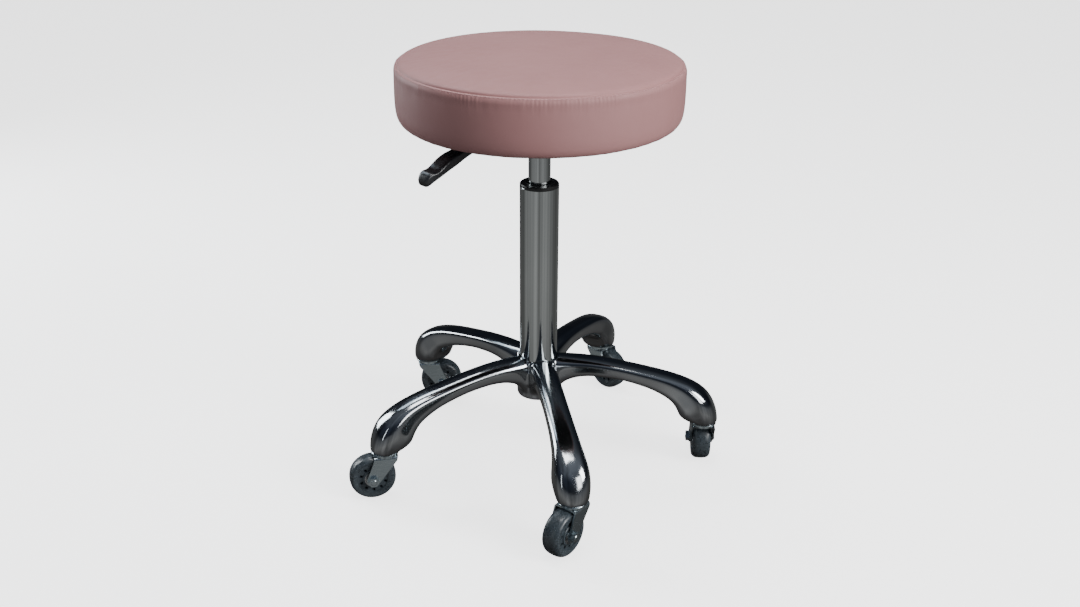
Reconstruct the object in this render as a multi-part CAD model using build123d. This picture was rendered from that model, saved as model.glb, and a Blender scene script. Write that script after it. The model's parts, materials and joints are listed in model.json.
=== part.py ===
from build123d import *
import math
import os

# Height-adjustable round work stool on a five-arm castor base.
# Frame: millimetres, +Z up, origin on the floor under the column axis.
# Arm 1 points along -Y; the other arms follow every 72 degrees, anticlockwise seen from above.

# ---------------- driving dimensions ----------------
N_ARMS = 5
STEM_R = 224.0          # castor stem axis from the column axis
RIM_Z = 66.3            # lower rim of each arm end
HUB_R = 29.2            # hub outer radius; the arms spring from it
HUB_BOTTOM = 93.0
HUB_TOP = 151.0

WHEEL_R = 30.0
WHEEL_W = 24.0
TRAIL = 18.0            # stem axis to axle, horizontally
TRAIL_AZ = [-139.1, 76.6, -57.6, -5.0, -178.0]   # rest heading of each castor, degrees

COLUMN_R = 25.0         # 50 mm column
COLUMN_TOP = 387.5
CYL_R = 14.0            # 28 mm gas cylinder
CYL_BOTTOM = 147.0
CYL_TOP = 455.0

LEVER_AZ = -146.3       # rest heading of the release lever, degrees
PIVOT_X = 30.0          # lever pivot from the column axis
PIVOT_Z = 461.6

SEAT_R = 175.6          # cushion side, widest
SEAM_R = 172.5
SEAM_Z = 546.5
SEAT_TOP = 551.0
SEAT_BOTTOM = 471.8
COVER_T = 1.2           # cover thickness

os.makedirs("parts", exist_ok=True)


# ---------------- helpers ----------------
def rev(pts):
    """Solid of revolution about Z from (radius, z) points."""
    face = make_face(Polyline(*[(r, 0, z) for r, z in pts], close=True))
    return revolve(face, Axis.Z, 360)


def ring(r0, r1, z0, z1):
    return rev([(r0, z0), (r1, z0), (r1, z1), (r0, z1)])


def cyl(r, z0, z1):
    return Pos(0, 0, (z0 + z1) / 2) * Cylinder(r, z1 - z0)


def block(x0, x1, y0, y1, z0, z1):
    return Pos((x0 + x1) / 2, (y0 + y1) / 2, (z0 + z1) / 2) * Box(x1 - x0, y1 - y0, z1 - z0)


def turn(shape, az):
    return Rot(0, 0, az) * shape


def along_y(shape):
    """Takes a shape built about Z to one about Y (Z becomes Y)."""
    return Rot(-90, 0, 0) * shape


def save(shape, name):
    solids = list(shape.solids()) if not isinstance(shape, list) else [s for x in shape for s in x.solids()]
    out = solids[0] if len(solids) == 1 else Compound(children=solids)
    export_step(out, f"parts/{name}.step")


# ---------------- five-arm base ----------------
# Side profile of an arm, (distance from axis, height): crown line, then the lower edge back.
CROWN = [(0, 148.6), (50, 148.2), (75, 147.3), (100, 144.6), (120, 141.6), (145, 137.2), (163, 133.0),
         (183, 127.4), (203, 120.4), (216, 113.6), (227, 103.8), (235, 91.5), (240, 78), (242.4, RIM_Z)]
LOWER = [(206, RIM_Z), (191.5, 74.5), (189.5, 83), (186, 92), (179.5, 100.5), (170, 107.5), (157, 113.5),
         (140, 119.6), (120, 124.4), (96, 127.4), (74, 128), (54, 125.5), (38, 118.5), (28, 106), (0, 100)]
# Plan half-width of an arm along its length.
PLAN = [(0, 16.5), (50, 16.2), (75, 15.4), (108, 14.8), (145, 14.9), (176, 15.6), (195, 17.4), (207, 19.6),
        (218, 21.6), (226, 21.7), (234, 18.8), (240, 11.5), (242.4, 0)]


def side_face(crown, lower):
    top = Spline(*[(x, 0, z) for x, z in crown[:-1]] + [(crown[-1][0], 0, crown[-1][1])])
    # the heel and rim are straight, the belly is a curve
    rim = Polyline((crown[-1][0], 0, crown[-1][1]), (lower[0][0], 0, lower[0][1]), (lower[1][0], 0, lower[1][1]))
    belly = Spline(*[(x, 0, z) for x, z in lower[1:]])
    close = Line((lower[-1][0], 0, lower[-1][1]), (crown[0][0], 0, crown[0][1]))
    return make_face([*top.edges(), *rim.edges(), *belly.edges(), *close.edges()])


def plan_face(plan, z):
    left = Spline(*[(x, y, z) for x, y in plan])
    right = Spline(*[(x, -y, z) for x, y in plan])
    close = Line((0, -plan[0][1], z), (0, plan[0][1], z))
    return make_face([*left.edges(), *right.edges(), *close.edges()])


def arm_outer():
    side = extrude(side_face(CROWN, LOWER), 30, dir=(0, 1, 0), both=True)
    plan = extrude(plan_face(PLAN, 40), 140, dir=(0, 0, 1))
    body = side & plan
    return body


def arm_solid():
    body = arm_outer()
    # round the two long top edges, where the crown meets the sides
    edges = [e for e in body.edges() if e.length > 150 and e.center().Z > 108 and abs(e.center().Y) > 5]
    for r in (3.5, 2.5):
        try:
            rounded = fillet(edges, r)
            if rounded.is_valid and rounded.volume > 1000:
                print("arm edge radius", r)
                body = rounded
                break
        except Exception as e:
            print("fillet", r, type(e).__name__)
    # hollow underside: 3.5 mm walls, open downwards, with the stem boss left standing
    in_crown = [(40, 141.5), (75, 140.4), (100, 137.8), (120, 134.9), (145, 130.5), (163, 126.3), (183, 120.6),
                (203, 113.2), (214, 106.6), (223, 97.6), (230, 86), (235, 74), (236.6, 60)]
    in_plan = [(40, 11.5), (75, 11.3), (108, 11.1), (145, 11.2), (176, 11.9), (195, 13.6), (207, 15.6),
               (218, 17.2), (226, 16.6), (233, 12), (237, 0)]
    top = Spline(*[(x, 0, z) for x, z in in_crown])
    rest = Polyline((236.6, 0, 60), (40, 0, 60), (40, 0, 141.5))
    inner = extrude(make_face([*top.edges(), *rest.edges()]), 30, dir=(0, 1, 0), both=True)
    l = Spline(*[(x, y, 50) for x, y in in_plan])
    r_ = Spline(*[(x, -y, 50) for x, y in in_plan])
    c = Line((40, -11.5, 50), (40, 11.5, 50))
    inner = inner & extrude(make_face([*l.edges(), *r_.edges(), *c.edges()]), 120, dir=(0, 0, 1))
    boss = Pos(STEM_R, 0, 85) * Cylinder(10.5, 60)
    inner = inner - boss
    body = body - inner
    return body


def base():
    """The hub and the five arms of the casting. They meet face to face at the hub's side."""
    arm = arm_solid() - cyl(HUB_R, 60, 170) - Pos(STEM_R, 0, 0) * cyl(6.0, 60, 94)
    hub = rev([(col_r(HUB_BOTTOM) + 0.03, HUB_BOTTOM), (HUB_R - 1.5, HUB_BOTTOM), (HUB_R, HUB_BOTTOM + 1.5), (HUB_R, HUB_TOP - 4),
               (HUB_R - 0.8, HUB_TOP - 1.6), (26.8, HUB_TOP - 0.2), (COLUMN_R + 0.03, HUB_TOP - 0.2), (COLUMN_R + 0.03, 150)])
    return [hub] + [turn(arm, -90 + 72 * i) for i in range(N_ARMS)]


def col_r(z):
    """Outer radius of the column at height z: a taper in the hub, straight above."""
    return COLUMN_R if z >= 150 else COLUMN_R - (150 - z) * 1.3 / 57


star = base()
print("star_base volume", [round(x.volume) for x in star], [len(x.solids()) for x in star])
save(star, "star_base")

# ---------------- column ----------------
B0 = 94.5
column = rev([(6.0, 97.0), (20.5, 97.0), (col_r(B0) - 2.2, B0), (col_r(B0) - 0.3, B0), (col_r(B0 + 0.6), B0 + 0.6),
              (COLUMN_R, 150), (COLUMN_R, COLUMN_TOP - 0.6), (COLUMN_R - 0.5, COLUMN_TOP), (23.0, COLUMN_TOP),
              (23.0, 152), (col_r(100) - 2.2, 100), (6.0, 100)])
save(column, "column_tube")
save(rev([(CYL_R + 0.1, 302), (22.95, 302), (22.95, COLUMN_TOP + 0.02), (24.9, COLUMN_TOP + 0.02), (24.9, COLUMN_TOP + 2.6),
          (23.9, COLUMN_TOP + 3.8), (17.2, COLUMN_TOP + 4.0), (16.0, COLUMN_TOP + 3.4), (CYL_R + 0.1, COLUMN_TOP + 3.2)]),
     "guide_bush")
save(ring(9, 20.5, 100.02, 103), "damper_ring")
save(ring(6, 17, 103.02, 104.5), "bearing_lower_washer")
balls = [Pos(11.5 * math.cos(a), 11.5 * math.sin(a), 106.75) * Sphere(2.2)
         for a in [2 * math.pi * k / 10 for k in range(10)]]
save(balls, "bearing_balls")
save(ring(5.1 - 0.9, 17, 109.0, 110.5), "bearing_upper_washer")

# ---------------- piston rod, held to the column floor and free to turn ----------------
rod = rev([(0, 93.6), (3.6, 93.6), (4.0, 94.0), (4.0, 94.8), (3.4, 94.8), (3.4, 96.2), (4.0, 96.2), (4.0, 110.52),
           (5.0, 110.52), (5.0, 300), (3.5, 300), (3.5, 312), (5.2, 312), (5.2, 313.5), (4.0, 315), (0, 315)])
save(rod, "piston_rod")
save(rev([(3.55, 300.02), (11.85, 300.02), (11.85, 303), (11.2, 303.3), (11.2, 308.7), (11.85, 309), (11.85, 311.98),
          (3.55, 311.98)]), "piston_head")
clip = ring(3.45, 8.5, 94.85, 96.15) - block(0, 12, -2.6, 2.6, 90, 100)
save(clip, "retaining_clip")

# ---------------- gas cylinder ----------------
cylinder = rev([(8, CYL_BOTTOM), (13.4, CYL_BOTTOM), (CYL_R, CYL_BOTTOM + 0.8), (CYL_R, 434), (13.35, CYL_TOP - 0.6),
                (12.8, CYL_TOP), (8, CYL_TOP), (8, 452.4), (12, 452.4), (12, CYL_BOTTOM + 2), (8, CYL_BOTTOM + 2)])
save(cylinder, "gas_cylinder")
save(ring(5.08, 11.97, CYL_BOTTOM + 2.02, CYL_BOTTOM + 16), "rod_guide")
save(rev([(3.65, 428), (11.97, 428), (11.97, 452.38), (7.5, 452.38), (7.5, 454), (3.65, 454)]), "valve_body")
save(rev([(0, 433), (3.5, 433), (3.5, 457), (1.4, 458.4), (0, 458.4)]), "valve_pin")

# ---------------- seat mechanism, built with the lever along +X, then turned ----------------
H0, H1 = 453.0, 468.0
tray = block(-42, 50, -27, 27, H0, H1)
tray = fillet(tray.edges().filter_by(Axis.Z), 7)
inner = block(-39.5, 47.5, -24.5, 24.5, H0 + 2.5, H1 + 5)
inner = fillet(inner.edges().filter_by(Axis.Z), 4.5)
tray = tray - inner
tray = tray + cyl(17.5, 436, H0 + 2.5)
tray = tray - rev([(0, 430), (14.03, 430), (14.03, 434), (13.38, CYL_TOP - 0.6), (13.38, 460), (0, 460)])
tray = tray - block(44, 54, -7, 7, 456.4, 467.2)
tray = tray - along_y(Pos(PIVOT_X, -PIVOT_Z, 0) * Cylinder(2.55, 80))
save(turn(tray, LEVER_AZ), "mechanism_housing")

plate = block(-75, 75, -75, 75, H1 + 0.02, 470.5)
plate = fillet(plate.edges().filter_by(Axis.Z), 14)
for sx in (-1, 1):
    for sy in (-1, 1):
        plate = plate - Pos(60 * sx, 60 * sy, 469) * Cylinder(3.3, 10)
save(turn(plate, LEVER_AZ), "mount_plate")

pin = along_y(Pos(PIVOT_X, -PIVOT_Z, 0) * (Cylinder(2.5, 57) + Pos(0, 0, 28.6) * Cylinder(4, 2.2)))
pin = pin + along_y(Pos(PIVOT_X, -PIVOT_Z, -28.6) * Cylinder(3.4, 1.6))
save(turn(pin, LEVER_AZ), "lever_pivot_pin")

screws, tnuts = [], []
for sx in (-1, 1):
    for sy in (-1, 1):
        s = rev([(0, 463.6), (4.4, 463.6), (5.6, 464.6), (5.6, 466.8), (6.8, 466.8), (6.8, 468.0), (3.0, 468.0), (3.0, 484.2),
                 (0, 484.2)])
        s = s - (Pos(0, 0, 464.2) * extrude(RegularPolygon(2.6, 6), 3, both=True))
        screws.append(Pos(60 * sx, 60 * sy, 0) * s)
        tnuts.append(Pos(60 * sx, 60 * sy, 0) * rev([(3.05, 474), (4.2, 474), (4.2, 483.6), (9, 483.6), (9, 484.8),
                                                     (3.05, 484.8)]))
save([turn(s, LEVER_AZ) for s in screws], "plate_screws")
save([turn(s, LEVER_AZ) for s in tnuts], "t_nuts")

# ---------------- release lever ----------------
blade = block(-5, 26, -6, 6, 458.7, 461.7)
blade = fillet(blade.edges().filter_by(Axis.Z).group_by(Axis.X)[0], 3)
boss = along_y(Pos(PIVOT_X, -PIVOT_Z, 0) * Cylinder(5.4, 14))
P0, P1, P2, P3 = (24, 0, PIVOT_Z), (58, 0, PIVOT_Z), (118, 0, 459.0), (166, 0, 444.6)
path = FilletPolyline(P0, P1, P2, P3, radius=24)
lever = sweep(Plane(origin=P0, z_dir=(1, 0, 0)) * Circle(3.5), path)
lever = lever + boss + blade + block(20, 28, -6, 6, 458.7, 463.5)
lever = lever - along_y(Pos(PIVOT_X, -PIVOT_Z, 0) * Cylinder(2.62, 80))
save(turn(lever, LEVER_AZ), "lever_rod")

GRIP_TOP = [(95, 464.6), (104, 464.8), (115, 464.4), (125, 463.0), (135, 461.2), (146, 459.0), (155, 455.6), (162, 451.2),
            (168, 447.0), (173, 445.2), (179, 445.2), (184, 442.2), (187.4, 436.8), (187.6, 431.6)]
GRIP_LOW = [(187.6, 431.6), (184.5, 428.6), (173, 434.8), (159, 440.2), (144, 444.6), (130, 450.0), (119, 453.8), (107, 455.4),
            (95, 455.6)]
GRIP_PLAN = [(95, 7.5), (111, 8.5), (137, 9.8), (162, 11.2), (177, 10.8), (185, 7.4), (188, 0)]
g = make_face([*Spline(*[(x, 0, z) for x, z in GRIP_TOP]).edges(), *Spline(*[(x, 0, z) for x, z in GRIP_LOW]).edges(),
               *Line((95, 0, 455.6), (95, 0, 464.6)).edges()])
grip = extrude(g, 11.5, dir=(0, 1, 0), both=True)
gp = make_face([*Spline(*[(x, y, 400) for x, y in GRIP_PLAN]).edges(), *Spline(*[(x, -y, 400) for x, y in GRIP_PLAN]).edges(),
                *Line((95, -7.5, 400), (95, 7.5, 400)).edges()])
grip = grip & extrude(gp, 80, dir=(0, 0, 1))
path2 = FilletPolyline(P0, P1, P2, (P3[0] + 0.3, 0, P3[2] - 0.09), radius=24)
grip = grip - sweep(Plane(origin=P0, z_dir=(1, 0, 0)) * Circle(3.53), path2)
save(turn(grip, LEVER_AZ), "lever_grip")

# ---------------- seat ----------------
OUT = [(0, SEAT_TOP), (112, SEAT_TOP)]
side_pts = [(112, SEAT_TOP), (135, 550.75), (155, 549.6), (167, 548.0), (SEAM_R, SEAM_Z - 0.8), (174.6, 541.5), (SEAT_R, 530), (SEAT_R, 512),
            (175.3, 495), (173.6, 485.5), (169.4, 478.4), (163, 474.0), (155, 472.2), (148, SEAT_BOTTOM)]
T = COVER_T


def offset_profile(pts, d):
    """Moves an open (r, z) profile inwards by d, by the normals of its chords."""
    out = []
    for k, (r, z) in enumerate(pts):
        a = pts[max(k - 1, 0)]
        b = pts[min(k + 1, len(pts) - 1)]
        tx, tz = b[0] - a[0], b[1] - a[1]
        n = math.hypot(tx, tz)
        out.append((r + tz / n * d, z - tx / n * d))
    return out


def profile_face(pts, tail):
    curve = Spline(*[(r, 0, z) for r, z in pts], tangents=((1, 0, 0), (-1, 0, 0)))
    line = Polyline(*[(r, 0, z) for r, z in tail])
    return make_face([*curve.edges(), *line.edges()])


outer = revolve(profile_face(side_pts, [side_pts[-1], (0, SEAT_BOTTOM), (0, SEAT_TOP), side_pts[0]]), Axis.Z, 360)
in_pts = offset_profile(side_pts, T)
in_pts[0] = (112, SEAT_TOP - T)
in_pts[-1] = (148, SEAT_BOTTOM + T)
zi_top, zi_bot = SEAT_TOP - T, SEAT_BOTTOM + T
inside = revolve(profile_face(in_pts, [in_pts[-1], (0, zi_bot), (0, zi_top), in_pts[0]]), Axis.Z, 360)
cover = outer - inside - cyl(128, SEAT_BOTTOM - 1, SEAT_BOTTOM + 3)
save(cover, "seat_cover")
in2 = offset_profile(side_pts, T + 0.05)
in2[0] = (112, SEAT_TOP - T - 0.05)
in2[-1] = (148, zi_bot + 0.05)
foam = revolve(profile_face(in2, [in2[-1], (0, zi_bot + 0.05), (0, zi_top - 0.05), in2[0]]), Axis.Z, 360)
BOARD_Z0, BOARD_Z1, BOARD_R = 473.05, 485.05, 150
foam = foam - cyl(BOARD_R + 0.05, 460, BOARD_Z1 + 0.02)
save(foam, "seat_foam")
board = rev([(0, BOARD_Z0), (BOARD_R - 3, BOARD_Z0), (BOARD_R, BOARD_Z0 + 2), (BOARD_R, BOARD_Z1), (0, BOARD_Z1)])
for sx in (-1, 1):
    for sy in (-1, 1):
        board = board - turn(Pos(60 * sx, 60 * sy, 0) * rev([(0, 470), (4.25, 470), (4.25, 483.55), (9.05, 483.55), (9.05, 486),
                                                             (0, 486)]), LEVER_AZ)
save(board, "seat_board")
felt = cyl(146, 470.55, 471.7)
for sx in (-1, 1):
    for sy in (-1, 1):
        felt = felt - turn(Pos(60 * sx, 60 * sy, 471) * Cylinder(3.4, 4), LEVER_AZ)
save(felt, "dust_cover")

# ---------------- castors ----------------
# Local frame: stem on Z, axle ahead at +X, wheel in the XZ plane.
stem = rev([(0, 58.9), (6.4, 58.9), (7.0, 59.4), (7.0, 60.7), (4.0, 60.7), (4.0, 66.12), (5.5, 66.12), (5.5, 81.9), (4.6, 81.9),
            (4.6, 88.1), (5.5, 88.1), (5.5, 90.6), (4.2, 92), (0, 92)])
grip_ring = ring(4.65, 5.95, 82, 88) - block(0, 8, -0.8, 0.8, 80, 90)
cap = rev([(4.06, 65.05), (15.6, 65.05), (16.6, 64.4), (16.6, 63.2), (17.6, 63.2), (17.6, 65.2), (16.6, 66.1), (4.06, 66.1)])
cap_balls = [Pos(12.5 * math.cos(a), 12.5 * math.sin(a), 63.95) * Sphere(1.08)
             for a in [2 * math.pi * k / 12 for k in range(12)]]


def castor_fork():
    """Pressed fork: one strip bent down at both sides, round crown, ears tapering to the axle."""
    def u_face(half, top, r):
        k = r * (1 - math.sqrt(0.5))
        return make_face([*Polyline((0, -half, 18), (0, half, 18), (0, half, top - r)).edges(),
                          *ThreePointArc((0, half, top - r), (0, half - k, top - k), (0, half - r, top)).edges(),
                          *Line((0, half - r, top), (0, -half + r, top)).edges(),
                          *ThreePointArc((0, -half + r, top), (0, -half + k, top - k), (0, -half, top - r)).edges(),
                          *Line((0, -half, top - r), (0, -half, 18)).edges()])
    strip = extrude(u_face(15.8, 62.8, 3.6), 40, dir=(1, 0, 0), both=True)
    strip = strip - extrude(u_face(13.6, 61.0, 1.8), 45, dir=(1, 0, 0), both=True)
    r = 8.4
    pts = [(-15.2, 63), (15.2, 63), (16.2, 58), (TRAIL + r * math.cos(math.radians(10)), WHEEL_R + r * math.sin(math.radians(10))),
           (TRAIL, WHEEL_R), (TRAIL - r * math.cos(math.radians(38)), WHEEL_R - r * math.sin(math.radians(38))), (-13.4, 57)]
    outline = extrude(make_face(Polyline(*[(x, 0, z) for x, z in pts], close=True)), 30, dir=(0, 1, 0), both=True)
    outline = outline + along_y(Pos(TRAIL, -WHEEL_R, 0) * Cylinder(r, 60))
    fork = (strip & outline) + cyl(16.2, 61.0, 62.8)
    fork = fork - cyl(4.35, 55, 70) - along_y(Pos(TRAIL, -WHEEL_R, 0) * Cylinder(4.05, 60))
    return fork


def castor_tread():
    w, r = WHEEL_W / 2, WHEEL_R
    crown = [(r - 4.6, w), (r - 2.3, w - 1.7), (r - 0.75, w - 4.6), (r - 0.15, w - 8.4), (r, 0)]
    edge = [(x, y) for x, y in crown] + [(x, -y) for x, y in crown[-2::-1]]
    arc = Spline(*[(x, 0, z) for x, z in edge])
    rest = Polyline((r - 4.6, 0, -w), (20.52, 0, -w + 0.6), (20.52, 0, w - 0.6), (r - 4.6, 0, w))
    return revolve(make_face([*arc.edges(), *rest.edges()]), Axis.Z, 360)


def castor_hub():
    h = rev([(8.5, -3.4), (11.03, -3.4), (11.03, -11.2), (13.0, -11.2), (13.5, -10.7), (13.5, -9.6), (18.6, -9.6), (18.9, -10.9), (20.5, -10.9),
             (20.5, 10.9), (18.9, 10.9), (18.6, 9.6), (13.5, 9.6), (13.5, 10.7), (13.0, 11.2), (11.03, 11.2), (11.03, 3.4), (8.5, 3.4)])
    for k in range(10):
        a = 2 * math.pi * (k + 0.5) / 10
        h = h - Pos(16.1 * math.cos(a), 16.1 * math.sin(a), 0) * Cylinder(2.1, 40)
    return h


def castor_bearings():
    one = rev([(4.06, -3.45), (5.8, -3.45), (6.3, -3.0), (9.2, -3.0), (9.7, -3.45), (11.0, -3.45), (11.0, 3.45), (9.7, 3.45),
               (9.2, 3.0), (6.3, 3.0), (5.8, 3.45), (4.06, 3.45)])
    return [Pos(0, 0, 7.0) * one, Pos(0, 0, -7.0) * one]


def castor_axle():
    bolt = rev([(0, -19.3), (4.0, -18.9), (5.4, -17.6), (5.6, -15.85), (4.0, -15.85), (4.0, 20.2), (3.4, 20.8), (0, 20.8)])
    sleeves = [ring(4.04, 5.7, 10.5, 13.5), ring(4.04, 5.7, -13.5, -10.5), ring(4.04, 5.7, -3.5, 3.5)]
    return [bolt] + sleeves


def castor_nut():
    nut = extrude(RegularPolygon(6.9, 6), 4.4) - Cylinder(4.03, 20)
    return Pos(0, 0, 15.85) * nut


fork, tread, hub = castor_fork(), castor_tread(), castor_hub()
bearings, axle, nut = castor_bearings(), castor_axle(), castor_nut()
stems, rings_, caps, cballs = [], [], [], []
for i in range(N_ARMS):
    place = Rot(0, 0, -90 + 72 * i) * Pos(STEM_R, 0, 0)
    at = place.position
    here = Pos(at.X, at.Y, 0)
    facing = here * Rot(0, 0, TRAIL_AZ[i])
    at_axle = facing * Pos(TRAIL, 0, WHEEL_R) * Rot(-90, 0, 0)
    stems.append(here * stem)
    rings_.append(here * grip_ring)
    caps.append(here * cap)
    cballs += [here * b for b in cap_balls]
    n = i + 1
    save(facing * fork, f"castor_{n}_fork")
    save(at_axle * tread, f"castor_{n}_tread")
    save(at_axle * hub, f"castor_{n}_hub")
    save([at_axle * b for b in bearings], f"castor_{n}_bearings")
    save([at_axle * b for b in axle], f"castor_{n}_axle")
    save(at_axle * nut, f"castor_{n}_nut")
save(stems, "castor_stems")
save(rings_, "stem_grip_rings")
save(caps, "castor_race_caps")
save(cballs, "castor_race_balls")
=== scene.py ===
import json
import math

import bmesh
import bpy
import numpy as np
from mathutils import Matrix, Vector, noise


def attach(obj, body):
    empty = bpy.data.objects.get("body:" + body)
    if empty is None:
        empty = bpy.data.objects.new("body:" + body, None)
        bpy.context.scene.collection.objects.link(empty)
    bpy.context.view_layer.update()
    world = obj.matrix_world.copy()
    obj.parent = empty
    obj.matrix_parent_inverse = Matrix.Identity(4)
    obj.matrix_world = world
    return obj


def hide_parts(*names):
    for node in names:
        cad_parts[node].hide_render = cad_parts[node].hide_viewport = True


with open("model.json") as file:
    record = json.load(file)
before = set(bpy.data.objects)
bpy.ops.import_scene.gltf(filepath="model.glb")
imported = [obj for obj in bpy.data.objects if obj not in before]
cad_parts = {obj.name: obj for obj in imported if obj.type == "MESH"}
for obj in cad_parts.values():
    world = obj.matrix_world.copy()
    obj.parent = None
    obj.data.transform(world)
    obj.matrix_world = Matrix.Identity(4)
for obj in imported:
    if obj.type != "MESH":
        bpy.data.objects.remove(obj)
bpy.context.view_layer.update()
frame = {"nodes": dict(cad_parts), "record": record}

NODES = frame["nodes"]
scene = bpy.context.scene
mm = 0.001


# ------------------------------------------------------------------ materials
class Mat:
    """A node material with a few shorthands."""

    def __init__(self, name, **sockets):
        self.m = bpy.data.materials.new(name)
        self.m.use_nodes = True
        self.t = self.m.node_tree
        self.b = self.t.nodes["Principled BSDF"]
        self.co = self.node("ShaderNodeTexCoord").outputs["Object"]
        for k, v in sockets.items():
            self.b.inputs[k.replace("_", " ")].default_value = v
        self.normal = None

    def node(self, kind, **props):
        n = self.t.nodes.new(kind)
        for k, v in props.items():
            setattr(n, k, v)
        return n

    def link(self, a, b):
        self.t.links.new(a, b)

    def mapped(self, scale):
        n = self.node("ShaderNodeMapping")
        n.inputs["Scale"].default_value = scale
        self.link(self.co, n.inputs["Vector"])
        return n.outputs["Vector"]

    def noise(self, scale, detail=3.0, rough=0.5, distort=0.0, vector=None):
        n = self.node("ShaderNodeTexNoise")
        n.inputs["Scale"].default_value = scale
        n.inputs["Detail"].default_value = detail
        n.inputs["Roughness"].default_value = rough
        n.inputs["Distortion"].default_value = distort
        self.link(vector or self.co, n.inputs["Vector"])
        return n.outputs["Fac"]

    def voronoi(self, scale, feature="F1", vector=None):
        n = self.node("ShaderNodeTexVoronoi", feature=feature)
        n.inputs["Scale"].default_value = scale
        self.link(vector or self.co, n.inputs["Vector"])
        return n.outputs["Distance"]

    def wave(self, scale, distortion=0.0, direction="X", vector=None):
        n = self.node("ShaderNodeTexWave", bands_direction=direction)
        n.inputs["Scale"].default_value = scale
        n.inputs["Distortion"].default_value = distortion
        self.link(vector or self.co, n.inputs["Vector"])
        return n.outputs["Fac"]

    def ramp(self, fac, stops, mode="LINEAR"):
        n = self.node("ShaderNodeValToRGB")
        n.color_ramp.interpolation = mode
        while len(n.color_ramp.elements) < len(stops):
            n.color_ramp.elements.new(0.5)
        for e, (p, c) in zip(n.color_ramp.elements, stops):
            e.position = p
            e.color = (*c, 1) if len(c) == 3 else c
        self.link(fac, n.inputs["Fac"])
        return n.outputs["Color"]

    def range(self, fac, lo, hi, a=0.3, b=0.7):
        n = self.node("ShaderNodeMapRange")
        n.inputs["From Min"].default_value = a
        n.inputs["From Max"].default_value = b
        n.inputs["To Min"].default_value = lo
        n.inputs["To Max"].default_value = hi
        self.link(fac, n.inputs["Value"])
        return n.outputs["Result"]

    def colour(self, out):
        self.link(out, self.b.inputs["Base Color"])

    def rough(self, out):
        self.link(out, self.b.inputs["Roughness"])

    def bump(self, height, strength, distance):
        n = self.node("ShaderNodeBump")
        n.inputs["Strength"].default_value = strength
        n.inputs["Distance"].default_value = distance
        self.link(height, n.inputs["Height"])
        if self.normal is not None:
            self.link(self.normal, n.inputs["Normal"])
        self.normal = n.outputs["Normal"]
        self.link(self.normal, self.b.inputs["Normal"])

    def multiply(self, a, b):
        n = self.node("ShaderNodeMix", data_type="RGBA", blend_type="MULTIPLY")
        n.inputs["Factor"].default_value = 1.0
        self.link(a, n.inputs["A"])
        self.link(b, n.inputs["B"])
        return n.outputs["Result"]


def lin(r, g, b):
    f = lambda c: (c / 255 / 12.92) if c / 255 <= 0.04045 else ((c / 255 + 0.055) / 1.055) ** 2.4
    return (f(r), f(g), f(b))


def make_chrome(name, tint, rough_lo, rough_hi, wobble):
    m = Mat(name, Metallic=1.0)
    patch = m.noise(9, 4, 0.55)
    m.colour(m.ramp(patch, [(0.3, tuple(c * 0.93 for c in tint)), (0.7, tint)]))
    m.rough(m.range(m.noise(26, 5, 0.6, 0.4), rough_lo, rough_hi))
    m.bump(m.noise(16, 2, 0.4), 0.10, wobble)
    m.bump(m.noise(900, 2, 0.5, vector=m.mapped((1, 1, 0.08))), 0.05, 0.00003)
    return m.m


def make_leather():
    m = Mat("pink_leatherette", Specular_IOR_Level=0.28, Sheen_Weight=0.03, Sheen_Roughness=0.5)
    m.b.inputs["Sheen Tint"].default_value = (1.0, 0.86, 0.86, 1)
    base = m.ramp(m.noise(7, 4, 0.55), [(0.3, lin(166, 121, 120)), (0.7, lin(174, 129, 128))])
    fine = m.ramp(m.voronoi(1250), [(0.0, (0.90, 0.88, 0.88)), (0.35, (1, 1, 1))])
    m.colour(m.multiply(base, fine))
    m.rough(m.range(m.noise(60, 5, 0.6), 0.48, 0.62))
    m.bump(m.voronoi(1150, "SMOOTH_F1"), 0.22, 0.00010)
    m.bump(m.noise(2600, 3, 0.6), 0.14, 0.00005)
    m.bump(m.noise(30, 3, 0.5), 0.10, 0.0010)
    return m.m


def make_plastic(name, lo, hi, r0, r1, grain=1500, strength=0.12, **kw):
    m = Mat(name, **kw)
    m.colour(m.ramp(m.noise(40, 4, 0.6), [(0.3, lo), (0.7, hi)]))
    m.rough(m.range(m.noise(120, 4, 0.6), r0, r1))
    m.bump(m.noise(grain, 3, 0.6), strength, 0.00008)
    return m.m


def make_metal(name, lo, hi, r0, r1, streak=(1, 1, 14)):
    m = Mat(name, Metallic=1.0)
    m.colour(m.ramp(m.noise(70, 5, 0.6, vector=m.mapped(streak)), [(0.3, lo), (0.7, hi)]))
    m.rough(m.range(m.noise(240, 4, 0.6), r0, r1))
    m.bump(m.noise(700, 3, 0.6, vector=m.mapped(streak)), 0.08, 0.00005)
    return m.m


def make_powder(name, colour):
    m = Mat(name, Specular_IOR_Level=0.5)
    m.colour(m.ramp(m.noise(60, 4), [(0.3, tuple(c * 0.8 for c in colour)), (0.7, colour)]))
    m.rough(m.range(m.noise(180, 4), 0.36, 0.5))
    m.bump(m.voronoi(1400, "SMOOTH_F1"), 0.22, 0.00012)
    return m.m


def make_wood():
    m = Mat("plywood_raw")
    grain = m.noise(14, 6, 0.65, 1.5, vector=m.mapped((1, 9, 40)))
    m.colour(m.ramp(grain, [(0.25, (0.36, 0.22, 0.11)), (0.55, (0.56, 0.39, 0.22)), (0.8, (0.66, 0.49, 0.30))]))
    m.rough(m.range(grain, 0.55, 0.75))
    m.bump(grain, 0.2, 0.0003)
    return m.m


def make_foam():
    m = Mat("cut_foam")
    cells = m.voronoi(700)
    m.colour(m.ramp(cells, [(0.0, (0.62, 0.53, 0.28)), (0.4, (0.80, 0.72, 0.45))]))
    m.b.inputs["Roughness"].default_value = 0.9
    m.bump(cells, 0.5, 0.0005)
    return m.m


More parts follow.
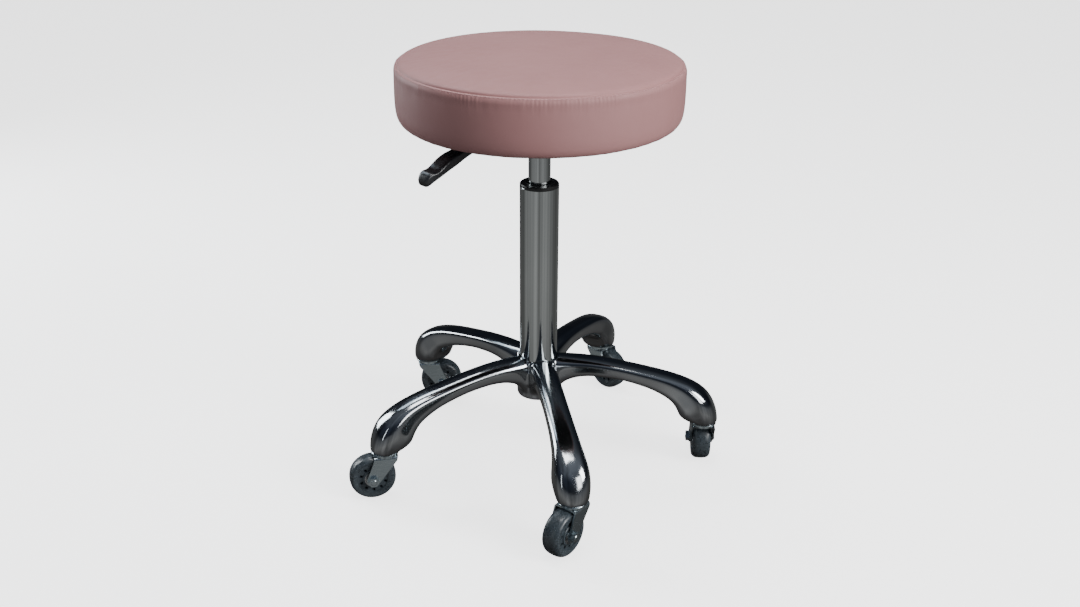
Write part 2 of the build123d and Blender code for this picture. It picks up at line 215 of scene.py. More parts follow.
def make_felt():
    m = Mat("black_felt", Sheen_Weight=0.25, Sheen_Roughness=0.5)
    fibres = m.noise(900, 6, 0.7, 2.0)
    m.colour(m.ramp(fibres, [(0.3, (0.012, 0.012, 0.013)), (0.75, (0.045, 0.045, 0.048))]))
    m.b.inputs["Roughness"].default_value = 0.92
    m.bump(fibres, 0.5, 0.0003)
    m.bump(m.voronoi(330), 0.25, 0.0003)
    return m.m


def make_tread():
    m = Mat("smoky_polyurethane", Specular_IOR_Level=0.5, IOR=1.5, Transmission_Weight=0.18, Subsurface_Weight=0.25, Subsurface_Scale=0.004)
    m.b.inputs["Subsurface Radius"].default_value = (1.0, 1.0, 1.0)
    m.colour(m.ramp(m.noise(55, 5, 0.6), [(0.3, (0.036, 0.047, 0.056)), (0.7, (0.062, 0.078, 0.090))]))
    m.rough(m.range(m.noise(160, 4, 0.65), 0.20, 0.40))
    m.bump(m.noise(420, 4, 0.6), 0.10, 0.0001)
    return m.m


# the cast base's chrome is a darker copy of the tube chrome on the next line: painted shade, standing in for
# the dimmer surroundings the arms reflect
SHADE_DARKENED_CHROME = make_chrome("polished_chrome_painted_shade", (0.375, 0.395, 0.412), 0.075, 0.165, 0.0004)
TUBE = make_chrome("tube_chrome", (0.55, 0.585, 0.59), 0.065, 0.14, 0.0002)
ZINC = make_metal("bright_zinc", (0.40, 0.47, 0.50), (0.54, 0.62, 0.655), 0.16, 0.28)
STEEL = make_metal("turned_steel", (0.45, 0.46, 0.47), (0.62, 0.63, 0.64), 0.20, 0.34)
BRASS = make_metal("turned_brass", (0.58, 0.43, 0.18), (0.72, 0.56, 0.27), 0.22, 0.36)
BLACK = make_plastic("black_moulding", (0.010, 0.011, 0.013), (0.019, 0.020, 0.023), 0.24, 0.36, Coat_Weight=0.6, Coat_Roughness=0.18)
BUSH = make_plastic("black_bush", (0.006, 0.006, 0.007), (0.012, 0.012, 0.013), 0.32, 0.46)
RUBBER = make_plastic("damper_rubber", (0.012, 0.012, 0.012), (0.022, 0.022, 0.022), 0.6, 0.8)
HUBS = make_plastic("grey_wheel_centre", (0.036, 0.047, 0.056), (0.058, 0.074, 0.086), 0.22, 0.38)
TREAD = make_tread()
LEATHER = make_leather()
POWDER = make_powder("black_powder_coat", (0.016, 0.016, 0.018))
WOOD, FOAM, FELT = make_wood(), make_foam(), make_felt()
THREAD = make_plastic("sewing_thread", lin(172, 128, 128), lin(190, 150, 150), 0.55, 0.75, 3000, 0.4)

BY_SLOT = {"polished_metal": TUBE, "castor_metal": ZINC, "tread_plastic": TREAD, "hub_plastic": HUBS, "black_plastic": BLACK,
           "steel": STEEL, "black_steel": POWDER, "damper_rubber": RUBBER, "brass_valve": BRASS, "plywood": WOOD, "foam": FOAM,
           "upholstery": LEATHER, "felt": FELT}


def paint(o, material):
    o.data.materials.clear()
    o.data.materials.append(material)


for part in frame["record"]["subparts"]:
    paint(NODES[part["node"]], BY_SLOT[part["material_slot"]])
paint(NODES["guide_bush"], BUSH)
paint(NODES["star_base"], SHADE_DARKENED_CHROME)


# ------------------------------------------------------------------ mesh helpers
def new_object(name, verts, faces, material, smooth=True):
    me = bpy.data.meshes.new(name)
    me.from_pydata([tuple(v) for v in verts], [], faces)
    me.validate()
    o = bpy.data.objects.new(name, me)
    scene.collection.objects.link(o)
    if material:
        me.materials.append(material)
    for p in me.polygons:
        p.use_smooth = smooth
    me.update()
    return o


def apply_all(o):
    """Bakes the modifiers of o into its mesh."""
    bpy.context.view_layer.update()
    dg = bpy.context.evaluated_depsgraph_get()
    me = bpy.data.meshes.new_from_object(o.evaluated_get(dg))
    mats = [m for m in o.data.materials]
    o.modifiers.clear()
    o.data = me
    if not me.materials:
        for m in mats:
            me.materials.append(m)
    return o


def smooth_by_angle(o, degrees):
    o.data.polygons.foreach_set("use_smooth", [True] * len(o.data.polygons))
    bm = bmesh.new()
    bm.from_mesh(o.data)
    limit = math.radians(degrees)
    for e in bm.edges:
        e.smooth = not (len(e.link_faces) == 2 and e.calc_face_angle(0) > limit)
    bm.to_mesh(o.data)
    bm.free()


def loft(rings, cap=True):
    """Quads between closed rings of equal count; with cap, each end closes with one face on its ring."""
    verts, faces, n = [], [], len(rings[0])
    for ring in rings:
        verts += [Vector(p) for p in ring]
    for i in range(len(rings) - 1):
        for j in range(n):
            a, b = i * n + j, i * n + (j + 1) % n
            faces.append((a, b, b + n, a + n))
    if cap:
        faces.append(tuple(range(n - 1, -1, -1)))
        last = (len(rings) - 1) * n
        faces.append(tuple(range(last, last + n)))
    return verts, faces


def revolve(profile, n, closed=True):
    """A ring of quads from (r, z) points about Z."""
    verts, faces, k = [], [], len(profile)
    for j in range(n):
        a = 2 * math.pi * j / n
        for r, z in profile:
            verts.append((r * math.cos(a), r * math.sin(a), z))
    for j in range(n):
        for i in range(k if closed else k - 1):
            a, b = j * k + i, j * k + (i + 1) % k
            c, d = ((j + 1) % n) * k + (i + 1) % k, ((j + 1) % n) * k + i
            faces.append((a, d, c, b))
    return verts, faces


def catmull(points, steps):
    """A smooth line through points (tuples of any length)."""
    p = [np.array(q, float) for q in points]
    p = [2 * p[0] - p[1]] + p + [2 * p[-1] - p[-2]]
    out = []
    for i in range(1, len(p) - 2):
        for s in range(steps):
            t = s / steps
            out.append(0.5 * ((2 * p[i]) + (-p[i - 1] + p[i + 1]) * t + (2 * p[i - 1] - 5 * p[i] + 4 * p[i + 1] - p[i + 2]) * t * t
                              + (-p[i - 1] + 3 * p[i] - 3 * p[i + 1] + p[i + 2]) * t ** 3))
    out.append(p[-2])
    return out


def section(tx, tz, bx, bz, w, ntop, nbot, count=40, crown=0.0):
    """A closed outline between a top and a bottom point of a side profile, w to each side."""
    c, h = Vector(((tx + bx) / 2, 0, (tz + bz) / 2)), Vector(((tx - bx) / 2, 0, (tz - bz) / 2))
    ring = []
    for k in range(count):
        a = 2 * math.pi * (k + 0.5) / count
        s, q = math.sin(a), math.cos(a)
        n = ntop if s > 0 else nbot
        y = w * math.copysign(abs(q) ** (2 / n), q)
        v = math.copysign(abs(s) ** (2 / n), s)
        if s > 0:
            v *= 1 - crown * (y / w) ** 2
        ring.append((c + h * v + Vector((0, y, 0))) * mm)
    return ring


def boolean(o, cutters, operation="DIFFERENCE"):
    for c in cutters:
        m = o.modifiers.new("b", "BOOLEAN")
        m.operation, m.object = operation, c
        try:
            m.solver = "MANIFOLD"
        except TypeError:
            m.solver = "EXACT"
    apply_all(o)
    for c in cutters:
        bpy.data.objects.remove(c)
    return o


# ------------------------------------------------------------------ five-arm base
#   crown x, z   belly x, z   half width  top and bottom squareness
ARM = [(25.7, 151.0, 25.7, 101, 17.2, 4.4, 3.6), (40, 150.9, 37, 116, 17.0, 4.6, 4.2), (60, 150.2, 54, 124.4, 16.6, 4.8, 4.8),
       (80, 148.6, 73, 127.0, 15.9, 4.8, 5.0), (100, 146.2, 93, 126.2, 15.6, 4.8, 5.0), (121, 142.8, 113, 123.6, 15.5, 4.8, 5.0),
       (143, 138.9, 133, 119.0, 15.8, 4.8, 5.0), (163, 135.0, 151, 113.3, 16.2, 4.8, 5.0), (182, 130.4, 166, 106.2, 17.0, 4.7, 4.8),
       (199.6, 124.6, 177.2, 98.8, 18.4, 4.4, 4.4), (214.4, 117.4, 184.2, 91.0, 20.4, 4.0, 4.0), (226.2, 108.2, 188.2, 83.4, 22.2, 3.5, 3.6),
       (234.2, 97.6, 190.8, 77.2, 22.9, 3.0, 3.2), (239.4, 86.2, 195.0, 72.2, 22.5, 2.6, 2.7), (242.0, 75.8, 200.4, 68.8, 21.2, 2.3, 2.3),
       (242.8, 68.8, 205.0, 67.4, 20.0, 2.05, 2.05), (242.8, 66.5, 205.8, 66.4, 19.4, 2.0, 2.0)]


def build_base():
    stations = catmull(ARM[:-1], 5) + [np.array(ARM[-1], float)]
    rings = [section(*s, count=64, crown=0.20 * min(1, max(0, (s[5] - 2) / 2))) for s in stations]
    verts, faces = loft(rings)
    nv = len(verts)
    allv, allf = [], []
    for i in range(5):
        turn = Matrix.Rotation(math.radians(-90 + 72 * i), 4, "Z")
        allv += [turn @ v for v in verts]
        allf += [tuple(k + i * nv for k in f) for f in faces]
    ring = [(25.08, 93.2), (27.2, 93.2), (28.4, 94.4), (28.6, 104), (28.6, 142), (27.6, 147.5), (25.08, 150.6)]
    hv, hf = revolve([(r * mm, z * mm) for r, z in ring], 120)
    base = len(allv)
    allv += [Vector(v) for v in hv]
    allf += [tuple(k + base for k in f) for f in hf]
    o = new_object("cast_star_base", allv, allf, SHADE_DARKENED_CHROME)
    bm = bmesh.new()
    bm.from_mesh(o.data)
    bmesh.ops.recalc_face_normals(bm, faces=bm.faces)
    bm.to_mesh(o.data)
    bm.free()
    r = o.modifiers.new("r", "REMESH")
    r.mode, r.voxel_size, r.use_smooth_shade = "VOXEL", (0.0015), True
    s = o.modifiers.new("s", "SMOOTH")
    s.factor, s.iterations = 0.5, 8
    apply_all(o)
    # hollow underside between cross ribs, open downwards
    cutters = []
    for i in range(5):
        turn = Matrix.Rotation(math.radians(-90 + 72 * i), 4, "Z")
        for lo, hi in ((41, 91.5), (94.5, 133), (136, 169.5)):
            rr = []
            k = 7
            for j in range(k):
                x = lo + (hi - lo) * j / (k - 1)
                top = np.interp(x, [a[0] for a in ARM], [a[1] for a in ARM]) - 4.0
                bot = np.interp(x, [a[2] for a in ARM], [a[3] for a in ARM]) - 14
                w = np.interp(x, [a[0] for a in ARM], [a[4] for a in ARM]) - 3.6
                rr.append([turn @ p for p in section(x, top, x, bot, w, 5, 12, 32)])
            v, f = loft(rr)
            c = new_object("cut", v, f, None)
            bm = bmesh.new()
            bm.from_mesh(c.data)
            bmesh.ops.recalc_face_normals(bm, faces=bm.faces)
            bm.to_mesh(c.data)
            bm.free()
            cutters.append(c)
    boolean(o, cutters)
    smooth_by_angle(o, 42)
    return o


base = build_base()
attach(base, "base")
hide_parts("star_base")

# ------------------------------------------------------------------ cushion
SEAM = (172.4, 543.9)
# outline of the stuffed cover, (radius, height): top panel, seam, side band, turn-under
TOPLINE = [(2.0, 554.7), (20, 554.65), (45, 554.4), (70, 554.0), (95, 553.3), (118, 552.3), (136, 551.1), (149, 549.7), (158.5, 548.2),
           (166, 546.3), (170, 544.9), SEAM]
BAND = [SEAM, (174.0, 541.2), (175.2, 536), (175.7, 526), (175.9, 513), (175.7, 500), (175.0, 489.6), (173.2, 481.4), (169.4, 475.9),
        (163, 473.4), (156, 472.3), (148, 472.0), (138, 472.0)]


def spaced(points, step):
    line = [np.array(p) for p in catmull(points, 12)]
    length = [0.0]
    for a, b in zip(line, line[1:]):
        length.append(length[-1] + float(np.linalg.norm(b - a)))
    n = max(2, int(round(length[-1] / step)))
    at = np.linspace(0, length[-1], n + 1)
    xs, zs = np.interp(at, length, [p[0] for p in line]), np.interp(at, length, [p[1] for p in line])
    return list(zip(xs, zs))


def build_cushion():
    # 1: a coarse cover, blown up against its seam and hem
    top, band = spaced(TOPLINE, 6.0), spaced(BAND, 6.0)
    coarse = top + band[1:]
    seam_i = len(top) - 1
    seg = 180
    delta = np.zeros((len(coarse), seg, 3))
    verts, faces = [], []
    for i, (r, z) in enumerate(coarse):
        inset = 1.0 if i > 0 else 0.0
        for j in range(seg):
            a = 2 * math.pi * j / seg
            verts.append(((r - 0.8) * math.cos(a) * mm, (r - 0.8) * math.sin(a) * mm, (z - (1.6 if i < seam_i else 0)) * mm))
    for i in range(len(coarse) - 1):
        for j in range(seg):
            a, b = i * seg + j, i * seg + (j + 1) % seg
            faces.append((a, a + seg, b + seg, b))
    faces.append(tuple(range(seg)))
    last = (len(coarse) - 1) * seg
    faces.append(tuple(range(last + seg - 1, last - 1, -1)))
    sim = new_object("sim_cover", verts, faces, None)
    pins = sim.vertex_groups.new(name="pins")
    for i in range(len(coarse)):
        weight = 1.0 if i >= len(coarse) - 5 else (0.82 if i == seam_i else 0.0)
        if weight:
            pins.add(list(range(i * seg, (i + 1) * seg)), weight, "REPLACE")
    cloth = sim.modifiers.new("c", "CLOTH")
    st = cloth.settings
    st.quality = 6
    st.mass = 0.4
    st.tension_stiffness = st.compression_stiffness = 18
    st.shear_stiffness = 9
    st.bending_stiffness = 1.2
    st.use_pressure = True
    st.uniform_pressure_force = 4.0
    st.effector_weights.gravity = 0.0
    st.vertex_group_mass = "pins"
    st.pin_stiffness = 1.0
    cloth.collision_settings.use_collision = False
    for f in range(1, 21):
        scene.frame_set(f)
    dg = bpy.context.evaluated_depsgraph_get()
    done = sim.evaluated_get(dg)
    after = np.array([v.co for v in done.data.vertices])
    before = np.array(verts)
    move = after - before
    size = np.linalg.norm(move, axis=1, keepdims=True)
    cap = 0.006
    move *= np.minimum(1.0, cap / np.maximum(size, 1e-9))
    delta = move.reshape(len(coarse), seg, 3)
    scene.frame_set(1)
    bpy.data.objects.remove(sim)
    # 2: the finished cover on a fine grid; the blown shape comes across as a soft field, with seams and gathers sewn in after
    fine_top = spaced(TOPLINE, 3.2)
    head = [p for p in fine_top if p[0] < 156]
    near = spaced([p for p in catmull(TOPLINE, 12) if p[0] >= 156], 0.8)
    head = head + [(float(a), float(b)) for a, b in near]
    fine_band = spaced(BAND, 1.3)
    dense = spaced(BAND[:4], 0.8)
    cut = dense[-1][1]
    tail = [p for p in fine_band if p[1] < cut - 0.6]
    rows = [(float(r), float(z), 0) for r, z in head] + [(float(r), float(z), 1) for r, z in dense[1:]] + [(float(r), float(z), 1) for r, z in tail]
    seam_row = len(head) - 1
    dist = [0.0]
    for a, b in zip(rows, rows[1:]):
        dist.append(dist[-1] + math.hypot(b[0] - a[0], b[1] - a[1]))
    cd = [0.0]
    for a, b in zip(coarse, coarse[1:]):
        cd.append(cd[-1] + math.hypot(b[0] - a[0], b[1] - a[1]))
    # match the two lines by share of each panel
    def share(d, seam_d, end_d):
        return d / seam_d if d <= seam_d else 1 + (d - seam_d) / (end_d - seam_d)
    cs = [share(d, cd[seam_i], cd[-1]) for d in cd]
    fs = [share(d, dist[seam_row], dist[-1]) for d in dist]
    n = 960
    ang = np.arange(n) * 2 * math.pi / n
    # the field, split into radial and upward parts round the seat and zeroed on average at the seam
    radial = np.zeros((len(coarse), seg))
    rise = np.zeros((len(coarse), seg))
    ca, sa = np.cos(np.arange(seg) * 2 * math.pi / seg), np.sin(np.arange(seg) * 2 * math.pi / seg)
    radial[:] = delta[:, :, 0] * ca + delta[:, :, 1] * sa
    rise[:] = delta[:, :, 2]
    radial -= radial[seam_i].mean()
    rise -= rise[seam_i].mean()
    stitches = 232
    verts = np.zeros((len(rows), n, 3))
    jj = ang / (2 * math.pi) * seg
    j0 = np.floor(jj).astype(int) % seg
    j1, jt = (j0 + 1) % seg, jj - np.floor(jj)
    for i, (r, z, band_side) in enumerate(rows):
        k = int(np.clip(np.searchsorted(cs, fs[i]) - 1, 0, len(cs) - 2))
        t = (fs[i] - cs[k]) / (cs[k + 1] - cs[k])
        fr = (1 - t) * radial[k] + t * radial[k + 1]
        fz = (1 - t) * rise[k] + t * rise[k + 1]
        dr = (fr[j0] * (1 - jt) + fr[j1] * jt) * 1000 * 0.45
        dz = (fz[j0] * (1 - jt) + fz[j1] * jt) * 1000 * 0.45
        d = dist[i] - dist[seam_row]          # below zero on the top panel, above on the band
        a, b = rows[max(i - 1, 0)], rows[min(i + 1, len(rows) - 1)]
        tr, tz = b[0] - a[0], b[1] - a[1]
        ln = math.hypot(tr, tz) or 1
        nr, nz = -tz / ln, tr / ln             # outward
        out = np.zeros(n)
        # the sewn line sinks in, with a soft roll at each side
        out -= 1.9 * math.exp(-((d / 1.5) ** 2))
        out += (0.48 if d > 0 else 0.30) * math.exp(-(((abs(d) - 6.5) / 5.0) ** 2))
        # gathers at every stitch, strong below the seam and faint above it
        phase = np.array([2.2 * noise.noise(Vector((3 * math.cos(q), 3 * math.sin(q), 0.3))) for q in ang])
        amount = (0.80 if d > 0 else 0.12) * math.exp(-abs(d) / (4.6 if d > 0 else 3.0)) * (1 - math.exp(-((d / 0.9) ** 2)))
        vary = np.array([min(1.5, max(0.10, 0.55 + 1.9 * noise.noise(Vector((5 * math.cos(q), 5 * math.sin(q), 1.7))) + 0.9 * noise.noise(Vector((26 * math.cos(q), 26 * math.sin(q), 2.9))))) for q in ang])
        out += amount * vary * np.sin(stitches * ang + phase)
        if d > 0:
            # longer, softer drags under some of the gathers
            out += 0.30 * math.exp(-((d - 9) / 12) ** 2) * np.array([noise.noise(Vector((22 * math.cos(q), 22 * math.sin(q), 4 + d * 0.02))) for q in ang])
        # slow unevenness of hand-stretched cover over foam
        out += np.array([0.75 * noise.noise(Vector((r * 0.011 * math.cos(q), r * 0.011 * math.sin(q), 5 + z * 0.012 + 0.0))) for q in ang]) * min(1.0, abs(d) / 8)
        # pleats where the band is pulled under to the board
        low = max(0.0, (484 - z) / 14) if band_side else 0.0
        if low > 0:
            fade = min(1.0, low) * (1 if r > 160 else max(0.0, (r - 146) / 14))
            out += 0.55 * fade * np.array([noise.noise(Vector((15 * math.cos(q), 15 * math.sin(q), 9.0))) for q in ang]) - 0.25 * fade
        if band_side and z < 473.2 and r < 158:
            dz *= 0
            out *= 0
        rr = r + dr + out * nr
        zz = z + dz + out * nz
        if band_side:
            zz = np.maximum(zz, 471.85)
        verts[i, :, 0], verts[i, :, 1], verts[i, :, 2] = rr * np.cos(ang) * mm, rr * np.sin(ang) * mm, zz * mm
    m = len(rows)
    flat = [tuple(v) for v in verts.reshape(-1, 3)]
    faces = []
    for i in range(m - 1):
        for j in range(n):
            a, b = i * n + j, i * n + (j + 1) % n
            faces.append((a, a + n, b + n, b))
    mid = verts[0].mean(0)
    flat.append((0, 0, float(mid[2])))
    c = len(flat) - 1
    for j in range(n):
        faces.append((c, j, (j + 1) % n))
    # close it underneath, above the dust cover
    flat.append((0, 0, 472.2 * mm))
    c = len(flat) - 1
    for j in range(n):
        faces.append((c, (m - 1) * n + (j + 1) % n, (m - 1) * n + j))
    o = new_object("stuffed_cover", flat, faces, LEATHER)
    bm = bmesh.new()
    bm.from_mesh(o.data)
    bmesh.ops.recalc_face_normals(bm, faces=bm.faces)
    bm.to_mesh(o.data)
    bm.free()
    return o, verts, seam_row, dist, n, stitches


cover, grid, seam_row, dist, NSEG, STITCHES = build_cushion()
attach(cover, "seat")
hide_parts("seat_cover", "seat_foam")


def build_stitches():
    """Lock stitches along the band, just under the seam."""
    row = next(i for i in range(seam_row, len(dist)) if dist[i] - dist[seam_row] >= 2.4)
    verts, faces = [], []
    for s in range(STITCHES):
        a0 = 2 * math.pi * (s + 0.5) / STITCHES
        half = 2 * math.pi / STITCHES * 0.34
        pts = []
        for k in range(7):
            t = k / 6
            a = a0 - half + 2 * half * t
            f = a / (2 * math.pi) * NSEG
            j, ft = int(math.floor(f)), f - math.floor(f)
            p = Vector(grid[row][j % NSEG]) * (1 - ft) + Vector(grid[row][(j + 1) % NSEG]) * ft
            out = Vector((p.x, p.y, 0)).normalized()
            pts.append((p + out * (0.34 * math.sin(math.pi * t) - 0.05) * mm, out))
        base_i = len(verts)
        for k, (p, out) in enumerate(pts):
            rad = 0.34 * mm * (0.35 if k in (0, 6) else (0.8 if k in (1, 5) else 1.0))
            up = Vector((0, 0, 1))
            for q in range(6):
                b = 2 * math.pi * q / 6
                verts.append(p + out * math.cos(b) * rad + up * math.sin(b) * rad)
        for k in range(6):
            for q in range(6):
                a, b = base_i + k * 6 + q, base_i + k * 6 + (q + 1) % 6
                faces.append((a, b, b + 6, a + 6))
        faces.append(tuple(base_i + q for q in range(5, -1, -1)))
        faces.append(tuple(base_i + 36 + q for q in range(6)))
    return new_object("seam_stitches", verts, faces, THREAD)


stitch = build_stitches()
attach(stitch, "seat")


def build_staples():
    verts, faces = [], []
    count = 30
    for s in range(count):
        a = 2 * math.pi * (s + 0.3) / count + 0.03 * math.sin(s * 2.7)
        c, t = Vector((math.cos(a), math.sin(a), 0)), Vector((-math.sin(a), math.cos(a), 0))
        c0 = c * 0.1400
        tilt = 0.12 * math.sin(s * 4.1)
        d = (t + c * tilt).normalized()
        path = [(-5.0, 0.25), (-4.9, -0.25), (-4.4, -0.5), (0, -0.52), (4.4, -0.5), (4.9, -0.25), (5.0, 0.25)]
        b0 = len(verts)
        side = d.cross(Vector((0, 0, 1)))
        for x, z in path:
            p = c0 + d * x * mm + Vector((0, 0, (470.55 + z) * mm))
            for u, v in ((-0.5, -0.26), (0.5, -0.26), (0.5, 0.26), (-0.5, 0.26)):
                verts.append(p + side * u * mm + Vector((0, 0, v * mm)))
        for k in range(len(path) - 1):
            for q in range(4):
                a1, b1 = b0 + k * 4 + q, b0 + k * 4 + (q + 1) % 4
                faces.append((a1, b1, b1 + 4, a1 + 4))
        faces.append((b0 + 3, b0 + 2, b0 + 1, b0))
        e = b0 + (len(path) - 1) * 4
        faces.append((e, e + 1, e + 2, e + 3))
    return new_object("hem_staples", verts, faces, STEEL, smooth=False)


staples = build_staples()
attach(staples, "seat")

# ------------------------------------------------------------------ lever grip
LEVER_AZ = -146.3
GRIP = [(96, 464.4, 96, 455.8, 7.2), (104, 464.7, 104, 455.5, 8.0), (115, 464.4, 113, 454.9, 8.9), (126, 463.0, 122, 452.8, 9.6),
        (137, 460.9, 131, 449.7, 10.1), (147, 458.7, 140, 446.0, 10.5), (156, 455.0, 149, 443.2, 10.9), (163, 450.5, 157, 440.8, 11.2),
        (168.5, 446.8, 164, 438.3, 11.3), (173.5, 445.3, 170.5, 435.8, 11.1), (179, 445.2, 176.5, 432.9, 10.5), (183.8, 442.4, 181.5, 430.2, 9.4),
        (186.6, 438.4, 184.8, 429.2, 8.0), (187.5, 434.6, 186.6, 430.2, 6.2)]


def build_grip():
    stations = catmull(GRIP, 4)
    rings = []
    for tx, tz, bx, bz, w in stations:
        c, h = Vector(((tx + bx) / 2, 0, (tz + bz) / 2)), Vector(((tx - bx) / 2, 0, (tz - bz) / 2))
        ring = []
        for k in range(32):
            a = 2 * math.pi * (k + 0.5) / 32
            s, q = math.sin(a), math.cos(a)
            n = 5.5 if s > 0 else 3.6
            y = w * math.copysign(abs(q) ** (2 / n), q)
            v = math.copysign(abs(s) ** (2 / n), s)
            ring.append((c + h * v + Vector((0, y, 0))) * mm)
        rings.append(ring)
    verts, faces = loft(rings)
    turn = Matrix.Rotation(math.radians(LEVER_AZ), 4, "Z")
    o = new_object("moulded_grip", [turn @ v for v in verts], faces, BLACK)
    bm = bmesh.new()
    bm.from_mesh(o.data)
    bmesh.ops.recalc_face_normals(bm, faces=bm.faces)
    bm.to_mesh(o.data)
    bm.free()
    sub = o.modifiers.new("s", "SUBSURF")
    sub.levels = sub.render_levels = 1
    apply_all(o)
    smooth_by_angle(o, 50)
    return o


grip = build_grip()
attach(grip, "lever")
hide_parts("lever_grip")

# ------------------------------------------------------------------ floor, light, camera
floor = new_object("floor", [(-7, -7, 0), (7, -7, 0), (7, 7, 0), (-7, 7, 0)], [(0, 1, 2, 3)], None)
fm = Mat("pale_floor")
fm.colour(fm.ramp(fm.noise(3, 3), [(0.3, (0.80, 0.80, 0.80)), (0.7, (0.83, 0.83, 0.83))]))
fm.b.inputs["Roughness"].default_value = 0.95
fm.b.inputs["Emission Color"].default_value = (1, 1, 1, 1)
fm.b.inputs["Emission Strength"].default_value = 2.4
fm.bump(fm.noise(300, 3), 0.03, 0.0005)
floor.data.materials.append(fm.m)
floor.visible_glossy = False
floor.visible_diffuse = False

world = bpy.data.worlds.new("studio")
scene.world = world
world.use_nodes = True
wt = world.node_tree
bg = wt.nodes["Background"]
geo = wt.nodes.new("ShaderNodeTexCoord")
sep = wt.nodes.new("ShaderNodeSeparateXYZ")
ramp = wt.nodes.new("ShaderNodeValToRGB")
mapz = wt.nodes.new("ShaderNodeMapRange")
wt.links.new(geo.outputs["Generated"], sep.inputs[0])
wt.links.new(sep.outputs["Z"], mapz.inputs["Value"])
mapz.inputs["From Min"].default_value, mapz.inputs["From Max"].default_value = -1, 1
wt.links.new(mapz.outputs["Result"], ramp.inputs["Fac"])
# a studio with a dull brown-grey ground and dark bluish walls
stops = [(0.0, (0.088, 0.082, 0.078)), (0.16, (0.160, 0.155, 0.155)), (0.30, (0.310, 0.305, 0.298)), (0.45, (0.200, 0.205, 0.215)),
         (0.54, (0.030, 0.036, 0.048)), (0.75, (0.044, 0.054, 0.078)), (1.0, (0.30, 0.33, 0.38))]
while len(ramp.color_ramp.elements) < len(stops):
    ramp.color_ramp.elements.new(0.5)
for e, (p, c) in zip(ramp.color_ramp.elements, stops):
    e.position, e.color = p, (*c, 1)
streak_map = wt.nodes.new("ShaderNodeMapping")
streak_map.inputs["Scale"].default_value = (1, 1, 0.12)
wt.links.new(geo.outputs["Generated"], streak_map.inputs["Vector"])
streaks = wt.nodes.new("ShaderNodeTexNoise")
streaks.inputs["Scale"].default_value, streaks.inputs["Detail"].default_value = 2.6, 3.0
wt.links.new(streak_map.outputs["Vector"], streaks.inputs["Vector"])
shade = wt.nodes.new("ShaderNodeMapRange")
shade.inputs["From Min"].default_value, shade.inputs["From Max"].default_value = 0.3, 0.7
shade.inputs["To Min"].default_value, shade.inputs["To Max"].default_value = 0.55, 1.45
wt.links.new(streaks.outputs["Fac"], shade.inputs["Value"])
# the walls to the sides are darker than the one in front of the stool
facing = wt.nodes.new("ShaderNodeVectorMath")
facing.operation = "DOT_PRODUCT"
facing.inputs[1].default_value = (-0.18, -0.984, 0.0)
wt.links.new(geo.outputs["Generated"], facing.inputs[0])
fall = wt.nodes.new("ShaderNodeMapRange")
fall.inputs["From Min"].default_value, fall.inputs["From Max"].default_value = -0.35, 0.75
fall.inputs["To Min"].default_value, fall.inputs["To Max"].default_value = 0.42, 1.05
wt.links.new(facing.outputs["Value"], fall.inputs["Value"])
power = wt.nodes.new("ShaderNodeMath")
power.operation = "MULTIPLY"
wt.links.new(shade.outputs["Result"], power.inputs[0])
wt.links.new(fall.outputs["Result"], power.inputs[1])
wt.links.new(ramp.outputs["Color"], bg.inputs["Color"])
wt.links.new(power.outputs[0], bg.inputs["Strength"])
plain = wt.nodes.new("ShaderNodeBackground")
plain.inputs["Color"].default_value = (1, 1, 1, 1)
plain.inputs["Strength"].default_value = 3.0
lp = wt.nodes.new("ShaderNodeLightPath")
mix = wt.nodes.new("ShaderNodeMixShader")
wt.links.new(lp.outputs["Is Camera Ray"], mix.inputs[0])
wt.links.new(bg.outputs[0], mix.inputs[1])
wt.links.new(plain.outputs[0], mix.inputs[2])
wt.links.new(mix.outputs[0], wt.nodes["World Output"].inputs["Surface"])


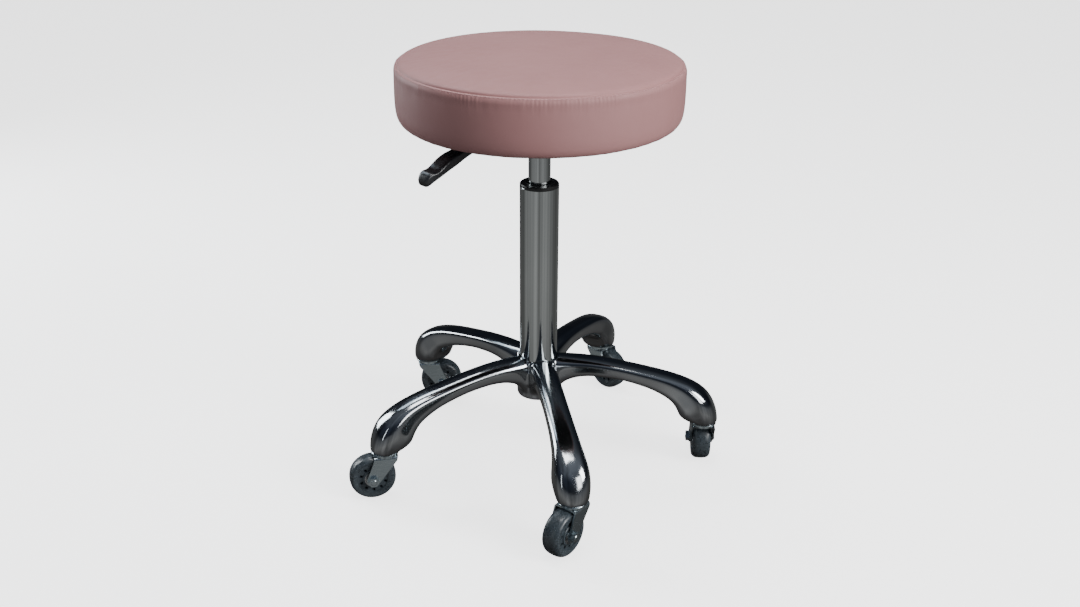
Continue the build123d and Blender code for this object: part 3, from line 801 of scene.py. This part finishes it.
def softbox(name, where, target, w, h, power, colour=(1, 1, 1)):
    light = bpy.data.lights.new(name, "AREA")
    light.shape, light.size, light.size_y, light.energy, light.color = "RECTANGLE", w, h, power, colour
    o = bpy.data.objects.new(name, light)
    scene.collection.objects.link(o)
    o.location = where
    o.rotation_euler = (Vector(target) - Vector(where)).to_track_quat("-Z", "Y").to_euler()
    return o


yaw = Matrix.Rotation(math.radians(-0.65), 3, "Z")
CAM = yaw @ Vector((-0.2455, -1.3706, 0.8619))
FWD = (yaw @ Vector((0.1630, 0.8943, -0.4169))).normalized()
side = FWD.cross(Vector((0, 0, 1))).normalized()
front = Vector((FWD.x, FWD.y, 0)).normalized()
up = Vector((0, 0, 1))


def at(right, ahead, z):
    """A point from the column axis: to the camera's right, away from it, and up."""
    return side * right + front * ahead + up * z


softbox("key", at(2.0, -1.1, 1.45), (0, 0, 0.45), 1.0, 1.3, 60)
softbox("front", at(1.4, -1.95, 1.0), (0, 0, 0.42), 0.8, 1.2, 17)
softbox("overhead", at(-0.1, -0.05, 2.25), (0, 0, 0.3), 1.2, 0.9, 27)
softbox("window_left", at(-1.7, 0.85, 0.8), (0, 0, 0.4), 0.5, 1.2, 22, (0.92, 0.97, 1.0))
softbox("strip_left", at(-1.3, -1.3, 0.55), (0, 0, 0.25), 0.10, 1.0, 1.6, (0.92, 0.97, 1.0))
softbox("back", at(-0.7, 1.5, 2.3), (0, 0, 0.35), 0.9, 0.4, 7, (0.95, 0.98, 1.0))
softbox("lever_card", at(-0.74, 0.75, 1.35), (-0.155, -0.104, 0.44), 0.6, 0.45, 2.2, (0.75, 0.88, 1.0))

right = FWD.cross(up).normalized()
upv = right.cross(FWD).normalized()
roll = 0.007
r2 = math.cos(roll) * right + math.sin(roll) * upv
u2 = -math.sin(roll) * right + math.cos(roll) * upv
data = bpy.data.cameras.new("camera")
data.sensor_fit, data.sensor_width, data.lens = "HORIZONTAL", 36.0, 1166.37 / 1080 * 36
data.shift_x, data.shift_y = -1.98 / 1080, 0.46 / 1080
data.clip_end = 50
cam = bpy.data.objects.new("camera", data)
scene.collection.objects.link(cam)
cam.matrix_world = Matrix(((r2.x, u2.x, -FWD.x, CAM.x), (r2.y, u2.y, -FWD.y, CAM.y), (r2.z, u2.z, -FWD.z, CAM.z), (0, 0, 0, 1)))
scene.camera = cam
